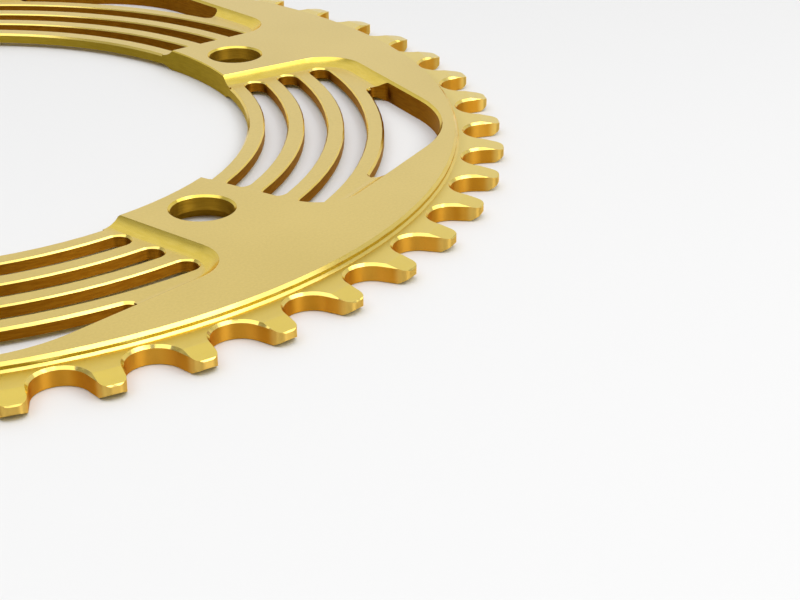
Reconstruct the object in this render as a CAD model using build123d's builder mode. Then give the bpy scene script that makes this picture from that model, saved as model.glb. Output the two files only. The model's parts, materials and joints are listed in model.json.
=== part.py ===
# Chainring for a bicycle crank with a five-armed spider, milled from one aluminium plate.
# Millimetres and degrees. The origin is the centre of the bolt circle on the front face, which
# seats on the spider, and +Z leads out of that face. A bolt hole and a tooth gap lie on +X.
from build123d import *
import os
from math import atan2, cos, degrees, hypot, isclose, pi, radians, sin, sqrt, tan

# Chain and teeth
chain_pitch = 12.7
tooth_count = 49
seat_radius = 3.95  # floor of a tooth gap, a little over a chain roller's radius
flank_lean = 13.5  # straight flank against its tooth's centre line
tip_height = 2.8  # tooth tip outside the pitch circle
tip_corner = 1.4  # rounding of a tip's corners, seen from the front
front_bevel_inset = 0.6  # a tooth's front starts to taper this far inside the pitch circle
front_bevel_angle = 11.0
back_bevel_outset = 1.2  # a tooth's back starts to taper this far outside the pitch circle
back_bevel_angle = 30.0
tip_chamfer = 0.2
gap_chamfer_front = 0.4
gap_chamfer_back = 0.15

# Plate, and the turned step from its front face down to the tooth band
plate_thickness = 4.2
rim_inset = 5.65  # the front face ends this far inside the pitch circle
rim_chamfer = 0.44
step_wall = 0.52
step_foot = 0.34  # chamfer at the foot of the step

# Bolt holes, and the tabs around them that reach in to the bore
bolt_count = 5
bolt_circle = 130.0
bolt_hole = 10.0
bolt_chamfer = 0.35
counterbore = 13.2  # seat of a sleeve nut's head, sunk into the back
counterbore_depth = 1.7
tab_reach = 7.8  # bolt circle to the tab's inner end
tab_width = 19.86  # at the bolt circle
tab_flare = 3.4  # lean of each side of a tab against its centre line
bore_chamfer = 0.2

# Pockets between the tabs, milled with a ball-nosed cutter into the front and the back
pocket_depth = 1.5
relief_depth = 0.8  # the same pocket on the back
cutter_radius = 4.0
pocket_corner = 7.5
pocket_web = 2.05  # front face left between a pocket's peak and the rim
peak_slope = 29.2  # a pocket's outer sides fall away from its peak by this angle
peak_rounding = 25.0

# Slots, ribs and the outer opening through the floor of each pocket
slot_width = 4.0
rib_width = 3.0
slot_end_gap = 2.6  # slot to the tab's front edge
slot_chamfer = 0.23
opening_least = 6.0  # rows of slots stop where the outer opening would get lower than this
opening_half_span = 22.6
opening_inset = 0.45  # strip of pocket wall left above the opening
opening_corner = 1.5
opening_chamfer = 0.37  # also along the inner rib's edge on the bore

# Radii and heights that follow from the sizes above
pitch_radius = chain_pitch / (2 * sin(pi / tooth_count))
tip_radius = pitch_radius + tip_height
tip_land = tip_radius - tip_chamfer
front_bevel_radius = pitch_radius - front_bevel_inset
back_bevel_radius = pitch_radius + back_bevel_outset
front_bevel_drop = (tip_land - front_bevel_radius) * tan(radians(front_bevel_angle))
back_bevel_rise = (tip_land - back_bevel_radius) * tan(radians(back_bevel_angle))
rim_radius = pitch_radius - rim_inset
step_radius = rim_radius + rim_chamfer
band_radius = step_radius + step_foot
wall_foot = -rim_chamfer - step_wall
band_height = wall_foot - step_foot
back = -plate_thickness
bore_radius = bolt_circle / 2 - tab_reach
peak_radius = rim_radius - pocket_web
row_pitch = slot_width + rib_width
slot_rows = int((peak_radius - opening_least - bore_radius - rib_width) / row_pitch)
opening_radius = bore_radius + slot_rows * row_pitch + rib_width
pocket_angle = 180 / bolt_count
wall_run = sqrt(cutter_radius**2 - (cutter_radius - pocket_depth) ** 2)

# One tooth gap: a round seat on the pitch circle with straight flanks
gap_lean = flank_lean + 180 / tooth_count
with BuildSketch() as gap:
    with BuildLine():
        seat = CenterArc((pitch_radius, 0), seat_radius, 90 + gap_lean, 180 - 2 * gap_lean)
        mouth = tip_radius + tip_height
        mouth_half = (seat @ 0).Y + (mouth - (seat @ 0).X) * tan(radians(gap_lean))
        Polyline(seat @ 0, (mouth, mouth_half), (mouth, -mouth_half), seat @ 1)
    make_face()

# Chamfers of one gap, as flared cuts from the tooth band and from the back
with BuildPart() as gap_edges:
    with BuildSketch(Plane.XY.offset(band_height - gap_chamfer_front)):
        add(gap.sketch)
    extrude(amount=gap_chamfer_front, taper=-45)
    with BuildSketch(Plane.XY.offset(back + gap_chamfer_back)):
        add(gap.sketch)
    extrude(amount=-gap_chamfer_back, taper=-45)

# Outline of a pocket on the front face, with the middle of the pocket on +X
half_angle = radians(pocket_angle)
slope = radians(peak_slope)
wall_angle = half_angle - radians(tab_flare)
wall_along = Vector(cos(wall_angle), sin(wall_angle))
wall_inward = Vector(sin(wall_angle), -cos(wall_angle))
bolt_along = Vector(cos(half_angle), sin(half_angle))
bolt_inward = Vector(sin(half_angle), -cos(half_angle))
wall_point = bolt_along * (bolt_circle / 2) + bolt_inward * (tab_width / 2)
wall_start = wall_point - wall_along * (2 * tab_reach)
peak_point = Vector(peak_radius + peak_rounding * (1 / cos(slope) - 1), 0)
side_normal = Vector(cos(slope), sin(slope))
wall_length = (peak_point - wall_point).dot(side_normal) / wall_along.dot(side_normal)
wall_end = wall_point + wall_along * wall_length
with BuildSketch() as pocket:
    with BuildLine():
        Polyline(wall_start, wall_end, peak_point)
        mirror(about=Plane.XZ)
        Line((wall_start.X, wall_start.Y), (wall_start.X, -wall_start.Y))
    make_face()
    fillet(pocket.vertices().sort_by(Axis.X)[-1], radius=peak_rounding)
    fillet(pocket.vertices().sort_by(Axis.X)[2:4], radius=pocket_corner)

# Pocket cutter with its floor on z = 0, rounded where the ball-nosed cutter leaves a hollow wall
with BuildPart() as pocket_cutter:
    with BuildSketch():
        offset(pocket.sketch, amount=cutter_radius - wall_run, kind=Kind.INTERSECTION)
    extrude(amount=cutter_radius + pocket_depth)
    floor_edges = pocket_cutter.edges().group_by(Axis.Z)[0]
    fillet(floor_edges.sort_by(Axis.X)[1:], radius=cutter_radius)


def slot_half_angle(radius):
    """Half of the angle between a slot's end centres, which lie on a line along the tab's side."""
    start = wall_point + wall_inward * (slot_end_gap + slot_width / 2)
    along = start.dot(wall_along)
    end = start + wall_along * (sqrt(along**2 - start.dot(start) + radius**2) - along)
    return degrees(atan2(end.Y, end.X))


# Slots through a pocket's floor, concentric with the ring
with BuildSketch() as slots:
    for row in range(slot_rows):
        slot_radius = bore_radius + row * row_pitch + rib_width + slot_width / 2
        half = slot_half_angle(slot_radius)
        SlotArc(CenterArc((0, 0), slot_radius, -half, 2 * half), slot_width)

# Outer opening of a pocket, between the last rib and the pocket's outer wall
with BuildSketch() as opening:
    offset(pocket.sketch, amount=-opening_inset)
    Circle(opening_radius, mode=Mode.SUBTRACT)
    Rectangle(2 * tip_radius, 2 * opening_half_span, mode=Mode.INTERSECT)
    ends = opening.vertices().sort_by(Axis.Y)
    fillet(ends[:2] + ends[-2:], radius=opening_corner)

# Chamfers along the ribs, as flared cuts at a pocket floor on z = 0. The slots' cuts go on above
# it, because the slots end in the foot of the hollow wall.
with BuildPart() as rib_edges:
    with BuildSketch(Plane.XY.offset(-opening_chamfer)):
        add(opening.sketch)
        Circle(bore_radius)
    extrude(amount=opening_chamfer, taper=-45)
    with BuildSketch():
        offset(pocket.sketch, amount=-wall_run)
    extrude(amount=-plate_thickness, mode=Mode.INTERSECT)
    with BuildSketch(Plane.XY.offset(-slot_chamfer)):
        add(slots.sketch)
    extrude(amount=2 * slot_chamfer, taper=-45)

# The chainring
with BuildPart() as chainring:
    # Turned blank
    with BuildSketch(Plane.XZ):
        with BuildLine():
            Polyline(
                (bore_radius, back + bore_chamfer),
                (bore_radius, -bore_chamfer),
                (bore_radius + bore_chamfer, 0),
                (rim_radius, 0),
                (step_radius, -rim_chamfer),
                (step_radius, wall_foot),
                (band_radius, band_height),
                (front_bevel_radius, band_height),
                (tip_land, band_height - front_bevel_drop),
                (tip_radius, band_height - front_bevel_drop - tip_chamfer),
                (tip_radius, back + back_bevel_rise + tip_chamfer),
                (tip_land, back + back_bevel_rise),
                (back_bevel_radius, back),
                (bore_radius + bore_chamfer, back),
                (bore_radius, back + bore_chamfer),
            )
        make_face()
    revolve(axis=Axis.Z)

    # Pockets, front and back
    with Locations((0, 0, -pocket_depth)):
        with PolarLocations(0, bolt_count, start_angle=pocket_angle):
            add(pocket_cutter.part, mode=Mode.SUBTRACT)
    with Locations(Location((0, 0, back + relief_depth), (180, 0, 0))):
        with PolarLocations(0, bolt_count, start_angle=pocket_angle):
            add(pocket_cutter.part, mode=Mode.SUBTRACT)

    # Slots and openings, with the chamfers along their ribs
    with BuildSketch():
        with PolarLocations(0, bolt_count, start_angle=pocket_angle):
            add(slots.sketch)
            add(opening.sketch)
    extrude(amount=-plate_thickness, mode=Mode.SUBTRACT)
    with Locations((0, 0, -pocket_depth)):
        with PolarLocations(0, bolt_count, start_angle=pocket_angle):
            add(rib_edges.part, mode=Mode.SUBTRACT)

    # Bolt holes, counterbored from the back
    with Locations(Location((0, 0, back), (180, 0, 0))):
        with PolarLocations(bolt_circle / 2, bolt_count):
            CounterBoreHole(bolt_hole / 2, counterbore / 2, counterbore_depth)
    front_arcs = chainring.edges().filter_by(GeomType.CIRCLE).group_by(Axis.Z)[-1]
    hole_edges = front_arcs.filter_by(lambda edge: isclose(edge.radius, bolt_hole / 2, rel_tol=1e-6))
    chamfer(hole_edges, length=bolt_chamfer)

    # Teeth
    with BuildSketch() as tooth_outline:
        Circle(tip_radius)
        with PolarLocations(0, tooth_count):
            add(gap.sketch, mode=Mode.SUBTRACT)
        tips = tooth_outline.vertices().filter_by(lambda v: hypot(v.X, v.Y) > pitch_radius)
        fillet(tips, radius=tip_corner)
    extrude(amount=-plate_thickness, mode=Mode.INTERSECT)
    with PolarLocations(0, tooth_count):
        add(gap_edges.part, mode=Mode.SUBTRACT)

chainring.part.label = "chainring"
os.makedirs("parts", exist_ok=True)
export_step(chainring.part, "parts/chainring.step")
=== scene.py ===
import json
from math import radians

import bpy
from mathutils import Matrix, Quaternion, Vector


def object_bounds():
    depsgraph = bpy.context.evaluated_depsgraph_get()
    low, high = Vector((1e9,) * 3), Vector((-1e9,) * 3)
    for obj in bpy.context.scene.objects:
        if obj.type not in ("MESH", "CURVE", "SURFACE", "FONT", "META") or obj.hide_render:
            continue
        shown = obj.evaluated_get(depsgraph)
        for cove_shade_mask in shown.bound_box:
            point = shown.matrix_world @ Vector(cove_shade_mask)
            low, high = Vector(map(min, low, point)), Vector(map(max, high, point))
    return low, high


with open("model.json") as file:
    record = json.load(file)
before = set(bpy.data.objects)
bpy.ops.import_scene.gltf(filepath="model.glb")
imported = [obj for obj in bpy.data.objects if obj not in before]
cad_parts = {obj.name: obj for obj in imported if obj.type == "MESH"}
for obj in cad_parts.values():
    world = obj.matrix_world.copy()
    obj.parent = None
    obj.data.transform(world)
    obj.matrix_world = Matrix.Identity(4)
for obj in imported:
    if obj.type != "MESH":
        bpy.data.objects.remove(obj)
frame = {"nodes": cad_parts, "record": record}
cad_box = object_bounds()


# The chainring: one plate of aluminium, turned to a stepped rim, milled with teeth, pockets,
# ribs and bolt holes, blasted on its faces and then anodised gold. Its broken edges stay bright.
# Nothing is fixed to it: a crank's spider seats on the tabs and five bolts go through them.
class Shade:
    """A socket in a node tree. Arithmetic on it adds Math nodes, and node() adds any other kind."""

    def __init__(self, tree, socket=None):
        self.tree = tree
        self.socket = socket

    def node(self, kind, settings=None, inputs=None, output=0):
        made = self.tree.nodes.new(kind)
        for name, value in (settings or {}).items():
            setattr(made, name, value)
        for name, value in (inputs or {}).items():
            if isinstance(value, Shade):
                self.tree.links.new(value.socket, made.inputs[name])
            else:
                made.inputs[name].default_value = value
        return Shade(self.tree, made.outputs[output] if len(made.outputs) else None)

    def math(self, operation, *values):
        return self.node("ShaderNodeMath", {"operation": operation}, dict(enumerate(values)))

    def __add__(self, other):
        return self.math("ADD", self, other)

    def __sub__(self, other):
        return self.math("SUBTRACT", self, other)

    def __rsub__(self, other):
        return self.math("SUBTRACT", other, self)

    def __mul__(self, other):
        return self.math("MULTIPLY", self, other)

    __radd__ = __add__
    __rmul__ = __mul__

    def rise(self, low, high):
        """0 below low, 1 above high and smooth between."""
        sockets = {"Value": self, "From Min": low, "From Max": high}
        return self.node("ShaderNodeMapRange", {"interpolation_type": "SMOOTHSTEP"}, sockets)

    def mix(self, first, second):
        """The first colour where this is 0, the second where it is 1."""
        return self.node("ShaderNodeMix", {"data_type": "RGBA"}, {0: self, 6: first, 7: second}, 2)

    def blend(self, first, second):
        """The first finish where this is 0, the second where it is 1."""
        return self.node("ShaderNodeMixShader", None, {0: self, 1: first, 2: second})

    def stretched(self, x, y, z):
        """This place, with its sides scaled."""
        sockets = {0: self, 1: (x, y, z)}
        return self.node("ShaderNodeVectorMath", {"operation": "MULTIPLY"}, sockets)

    def cloud(self, scale, detail):
        """Smooth noise at this place, with so many lumps to a unit of length."""
        sockets = {"Vector": self, "Scale": scale, "Detail": detail}
        return self.node("ShaderNodeTexNoise", None, sockets)


ring = frame["nodes"]["chainring"]
gold = bpy.data.materials.new("gold_anodised_aluminium")
gold.use_nodes = True
gold.node_tree.nodes.clear()
draw = Shade(gold.node_tree)

# Where a place is on the ring, in millimetres, and which way the surface looks there: upward is
# 1 on the front face, 0 on an upright wall and -1 on the back
place = draw.node("ShaderNodeTexCoord", output="Object").stretched(1000, 1000, 1000)
x = draw.node("ShaderNodeSeparateXYZ", None, {0: place}, "X")
y = draw.node("ShaderNodeSeparateXYZ", None, {0: place}, "Y")
z = draw.node("ShaderNodeSeparateXYZ", None, {0: place}, "Z")
radius = draw.math("SQRT", x * x + y * y)
looking = draw.node("ShaderNodeTexCoord", output="Normal")
upward = draw.node("ShaderNodeSeparateXYZ", None, {0: looking}, "Z")

# Radii and heights that part the ring's forms, in millimetres, from its bolts, tooth tips and back
bolts = {mount["name"]: mount for mount in frame["record"]["mounts"]}["bolts"]["dims"]
bolt_radius = bolts["pcd_mm"] / 2
hole_reach = bolts["hole_r_mm"] + 2.1
bore_reach = bolt_radius - 7.75
tip_radius = -1000 * cad_box[0].x
step_from, step_to = tip_radius - 8.51, tip_radius - 7.61
corner_to = step_to + 1.8
tip_from, tip_to = tip_radius - 2.31, tip_radius - 1.11
pocket_floor = -1.5
relief_floor = 1000 * cad_box[0].z + 0.8
soft = 0.1

# Faces lie flat, walls stand up, and edges are the chamfers and hollows between them
flat = draw.math("ABSOLUTE", upward)
turned = radius.rise(step_from - soft, step_from)
face = flat.rise(0.95, 0.995) * (1 - turned) + flat.rise(0.88, 0.97) * turned
step = turned * (1 - radius.rise(step_to - soft, step_to))
wall = (1 - flat.rise(0.15, 0.4)) * (1 - face) * (1 - step)
band = turned * upward.rise(0.4, 0.6)
# Where shade is painted in the cove beside the step, fading out across it
cove_shade_mask = 1 - radius.rise(step_to, corner_to)
tip = radius.rise(tip_from, tip_to)
bore = 1 - radius.rise(bore_reach, bore_reach + soft)
in_pocket = z.rise(pocket_floor, pocket_floor + soft)
in_relief = 1 - z.rise(relief_floor, relief_floor + soft)
hollow = (in_pocket + in_relief) * (1 - turned)
# The hollows and the step's upright wall, where shade is painted below
hollows_and_step_wall = hollow + step * (1 - upward.rise(0.45, 0.6))

# Around each bolt hole, by the distance to the nearest bolt
aside = draw.math("PINGPONG", draw.math("ARCTAN2", y, x), radians(180 / bolts["count"]))
along = bolt_radius * radius * draw.math("COSINE", aside)
from_bolt = draw.math("SQRT", radius * radius + bolt_radius**2 - 2 * along)
hole = 1 - from_bolt.rise(hole_reach, hole_reach + soft)

# Blasted faces with a fine grain and slightly uneven dye, and the turned tooth band with fine
# rings.
# Beside the step, a darker and deeper gold is painted shade in the cove.
grain = place.cloud(2.4, 4.0)
patches = place.cloud(0.035, 2.0)
dye = (grain * 0.55 + patches * 0.45).rise(0.3, 0.7)
face_colour = dye.mix((0.663, 0.488, 0.086, 1), (0.735, 0.55, 0.116, 1))
spacing = {"W": radius * 5.0, "Detail": 2.0}
rings = draw.node("ShaderNodeTexNoise", {"noise_dimensions": "1D"}, spacing)
ring_colour = rings.rise(0.3, 0.7).mix((0.71, 0.525, 0.063, 1), (0.78, 0.59, 0.084, 1))
# Painted shade: a darker gold fading out from the step across the cove
band_colour = cove_shade_mask.mix(ring_colour, (0.67, 0.495, 0.047, 1))
lumps = grain * (1 - band) + rings * band * 0.5
bump = {"Strength": 0.4, "Distance": 0.00008, "Height": lumps}
blasted = draw.node("ShaderNodeBsdfPrincipled", None, {
    "Base Color": band.mix(face_colour, band_colour),
    "Metallic": 1.0,
    "Roughness": 0.4 + 0.06 * (grain - 0.5) - 0.07 * band,
    "Coat Weight": 0.6,
    "Coat Roughness": 0.4,
    "Coat IOR": 1.65,
    "Normal": draw.node("ShaderNodeBump", None, bump, "Normal"),
})

# Chamfers and the step, cut bright, and the pockets' hollow sides and the step's upright wall,
# where a darker, deeper gold is painted shade
drags = place.stretched(0.1, 0.1, 1).cloud(4.0, 3.0)
streaks = drags.rise(0.3, 0.7)
edge_colour = streaks.mix((0.82, 0.61, 0.115, 1), (0.86, 0.66, 0.16, 1))
hollow_painted_shade = streaks.mix((0.73, 0.54, 0.07, 1), (0.78, 0.59, 0.1, 1))
facets = place.stretched(1, 1, 0).cloud(0.7, 0.0) * turned * (1 - step)
chatter = {"Strength": 0.7, "Distance": 0.0003, "Height": facets}
bright = draw.node("ShaderNodeBsdfPrincipled", None, {
    "Base Color": hollows_and_step_wall.mix(edge_colour, hollow_painted_shade),
    "Metallic": 1.0,
    "Roughness": 0.15 + 0.04 * drags + 0.06 * hollows_and_step_wall,
    "Specular Tint": (1, 0.86, 0.55, 1),
    "Coat Weight": 0.5 - 0.15 * hollows_and_step_wall,
    "Coat Roughness": 0.1,
    "Coat IOR": 1.65,
    "Normal": draw.node("ShaderNodeBump", None, chatter, "Normal"),
})

# Milled walls, drawn along the cutter's way, which spreads their shine upright. Their colours are
# painted
# reflection and shade: darker orange-brown in the tooth gaps, paler painted highlight on the
# teeth's tips.
flutes = place.stretched(1, 1, 0.1).cloud(0.32, 1.0).rise(0.32, 0.68)
# Painted reflection and shade: the gap walls darker orange-brown, varied by random flutes
gap_painted_shade = flutes.mix((0.78, 0.355, 0.024, 1), (0.91, 0.47, 0.05, 1))
# Painted highlight: the teeth's tips paler
tip_painted_highlight = flutes.mix((0.95, 0.6, 0.12, 1), (1.0, 0.67, 0.15, 1))
# Painted shade: the slots' walls darkest, the bore's and bolt holes' walls a lighter olive-brown
slot_painted_shade = streaks.mix((0.35, 0.128, 0.005, 1), (0.46, 0.192, 0.01, 1))
bore_painted_shade = streaks.mix((0.48, 0.325, 0.025, 1), (0.56, 0.395, 0.038, 1))
inner_painted_shade = (bore + 0.5 * hole).mix(slot_painted_shade, bore_painted_shade)
scores = {"Strength": 0.3, "Distance": 0.00004, "Height": drags}
milled = draw.node("ShaderNodeBsdfPrincipled", None, {
    "Base Color": turned.mix(inner_painted_shade, tip.mix(gap_painted_shade, tip_painted_highlight)),
    "Metallic": 1.0,
    "Roughness": 0.46 + 0.08 * drags,
    "Specular Tint": (1, 0.88, 0.6, 1),
    "Anisotropic": 1.0,
    "Anisotropic Rotation": 0.25,
    "Normal": draw.node("ShaderNodeBump", None, scores, "Normal"),
})

surface = wall.blend(face.blend(bright, blasted), milled)
draw.node("ShaderNodeOutputMaterial", None, {"Surface": surface})
ring.data.materials.clear()
ring.data.materials.append(gold)


# The table: a seamless sheet of white board that the ring lies on, running far past the frame.
# It is plain matt white and lies loose, so it shows only the ring's soft contact shadow.
floor_height = cad_box[0].z
bpy.ops.object.select_all(action="DESELECT")
bpy.ops.mesh.primitive_plane_add(size=12.0, location=(0, 0, floor_height))
table = bpy.context.object
table.name = "table"
board = bpy.data.materials.new("white_board")
board.use_nodes = True
board.node_tree.nodes.clear()
draw = Shade(board.node_tree)
matt = draw.node("ShaderNodeBsdfDiffuse", None, {"Color": (0.82, 0.82, 0.82, 1)})
draw.node("ShaderNodeOutputMaterial", None, {"Surface": matt})
table.data.materials.append(board)

# The light: a large soft panel hung over the near side of the ring, a softbox to its right
# and a pale wall behind it. The rest of the room is dimmer, so that edges which look away
# from the panel go dark.
panel = bpy.data.lights.new("panel", "AREA")
panel.shape = "RECTANGLE"
panel.size = 1.4
panel.size_y = 0.5
panel.energy = 2.95
panel_lamp = bpy.data.objects.new("panel", panel)
panel_lamp.location = (0.053, -0.255, 0.6)
panel_lamp.rotation_euler.z = radians(-20)
bpy.context.collection.objects.link(panel_lamp)

softbox = bpy.data.lights.new("softbox", "AREA")
softbox.size = 0.5
softbox.energy = 1.6
softbox_lamp = bpy.data.objects.new("softbox", softbox)
softbox_lamp.location = (0.33, -0.62, 0.67)
aim = Vector((0.03, -0.1, 0.0))
softbox_lamp.rotation_euler = (aim - softbox_lamp.location).to_track_quat("-Z", "Y").to_euler()
bpy.context.collection.objects.link(softbox_lamp)

world = bpy.data.worlds.new("studio")
bpy.context.scene.world = world
world.use_nodes = True
world.node_tree.nodes.clear()
draw = Shade(world.node_tree)
towards = draw.node("ShaderNodeTexCoord", output="Generated")
pale_wall = {0: towards, 1: (0.45, 0.62, 0.64)}
ahead = draw.node("ShaderNodeVectorMath", {"operation": "DOT_PRODUCT"}, pale_wall, "Value")
room = ahead.rise(0.34, 0.86).mix((0.36, 0.36, 0.36, 1), (0.94, 0.94, 0.94, 1))
backdrop = draw.node("ShaderNodeBackground", None, {"Color": room, "Strength": 1.0})
draw.node("ShaderNodeOutputWorld", None, {"Surface": backdrop})

# The camera stands low and close, off the ring's left, as the photograph was taken.
# Its lens takes in the near right half of the ring.
camera = bpy.data.cameras.new("camera")
camera.lens = 75.9
camera.sensor_width = 36.0
camera.clip_start = 0.01
camera_body = bpy.data.objects.new("camera", camera)
camera_body.location = (-0.10098, -0.27124, 0.10197)
aim = Vector((0.02489, -0.10596, 0.0))
roll = Quaternion((0, 0, 1), radians(0.13))
look = (aim - camera_body.location).to_track_quat("-Z", "Y") @ roll
camera_body.rotation_euler = look.to_euler()
bpy.context.collection.objects.link(camera_body)
bpy.context.scene.camera = camera_body
bpy.context.scene.view_settings.view_transform = "Standard"
